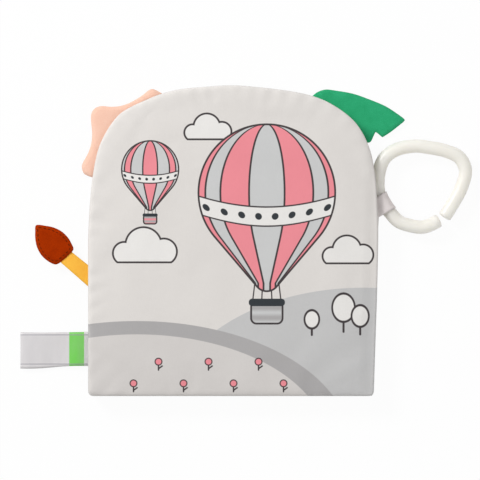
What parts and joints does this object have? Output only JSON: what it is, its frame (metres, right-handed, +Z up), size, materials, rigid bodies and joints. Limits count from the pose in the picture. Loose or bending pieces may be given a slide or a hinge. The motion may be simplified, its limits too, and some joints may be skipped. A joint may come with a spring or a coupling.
{
  "type": "crinkle cloth book",
  "caption": "Padded cloth book with crackling film in its leaves, felt, ribbon and satin pieces on its edges and a plastic C-link on a ribbon loop.",
  "frame": {"origin": "middle of the closed book's flat underside, on the surface that it lies on", "axes": "+X towards the spine, +Y towards the domed top edge, +Z up towards the cover"},
  "size_m": [0.2727, 0.1872, 0.0153],
  "materials": {
    "grey_polyester": "woven polyester, plain, printed",
    "pale_polyester": "woven polyester, plain, printed",
    "clear_film": "thin crackling film, clear",
    "white_wadding": "loose polyester wadding",
    "peach_felt": "matt felt",
    "green_felt": "matt felt",
    "brown_felt": "matt felt",
    "yellow_ribbon": "woven ribbon",
    "white_satin": "satin sheen",
    "lilac_ribbon": "woven ribbon, slight sheen",
    "milky_plastic": "smooth and slightly see-through"
  },
  "bodies": {
    "cover": {"cover_front_fabric": "grey_polyester", "cover_crinkle_film": "clear_film", "cover_wadding": "white_wadding", "cover_back_fabric": "pale_polyester"},
    "second_leaf": {"second_leaf_front_fabric": "grey_polyester", "second_leaf_crinkle_film": "clear_film", "second_leaf_wadding": "white_wadding", "second_leaf_back_fabric": "pale_polyester"},
    "third_leaf": {"third_leaf_front_fabric": "grey_polyester", "third_leaf_crinkle_film": "clear_film", "third_leaf_wadding": "white_wadding", "third_leaf_back_fabric": "pale_polyester"},
    "book_back": {"back_leaf_front_fabric": "grey_polyester", "back_leaf_crinkle_film": "clear_film", "back_leaf_wadding": "white_wadding", "back_leaf_back_fabric": "pale_polyester", "spine_binding": "grey_polyester"},
    "star": {"felt_star": "peach_felt"},
    "tail": {"tail_strip": "yellow_ribbon", "tail_tuft_front": "brown_felt", "tail_tuft_back": "brown_felt"},
    "sprig": {"felt_sprig": "green_felt"},
    "label": {"satin_label": "white_satin"},
    "loop": {"ribbon_loop": "lilac_ribbon"},
    "link": {"c_link": "milky_plastic"}
  },
  "joints": [
    {"name": "third_leaf_turn", "type": "hinge", "parent": "book_back", "child": "third_leaf", "pos_m": [0.0845, 0, 0.0135], "axis": [0.0297, 0.9996, 0], "range_deg": [0, 180]},
    {"name": "second_leaf_turn", "type": "hinge", "parent": "third_leaf", "child": "second_leaf", "pos_m": [0.0845, 0, 0.0135], "axis": [0.0297, 0.9996, 0], "range_deg": [0, 180]},
    {"name": "cover_turn", "type": "hinge", "parent": "second_leaf", "child": "cover", "pos_m": [0.0845, 0, 0.0135], "axis": [0.0297, 0.9996, 0], "range_deg": [0, 180]},
    {"name": "felt_star_bend", "type": "hinge", "parent": "second_leaf", "child": "star", "pos_m": [-0.07411, 0.0721, 0.0096], "axis": [0.6067, 0.7949, 0], "range_deg": [-20, 80], "stiffness_Nm_per_rad": 0.01},
    {"name": "tail_bend", "type": "hinge", "parent": "third_leaf", "child": "tail", "pos_m": [-0.08828, -0.021, 0.0057], "axis": [0, -1, 0], "range_deg": [-80, 6], "stiffness_Nm_per_rad": 0.006},
    {"name": "felt_sprig_bend", "type": "hinge", "parent": "book_back", "child": "sprig", "pos_m": [0.06787, 0.07803, 0.0018], "axis": [-0.779, 0.627, 0], "range_deg": [-80, 2], "stiffness_Nm_per_rad": 0.01},
    {"name": "label_bend", "type": "hinge", "parent": "book_back", "child": "label", "pos_m": [-0.08835, -0.0654, 0.0018], "axis": [0, 1, 0], "range_deg": [0, 85]},
    {"name": "loop_bend", "type": "hinge", "parent": "book_back", "child": "loop", "pos_m": [0.08797, 0.02248, 0.0109], "axis": [0.0297, 0.9996, 0], "range_deg": [-100, 0]},
    {"name": "link_turn", "type": "hinge", "parent": "loop", "child": "link", "pos_m": [0.09118, 0.02248, 0.0055], "axis": [-0.5043, 0.8635, 0], "range_deg": [-20, 0]}
  ]
}
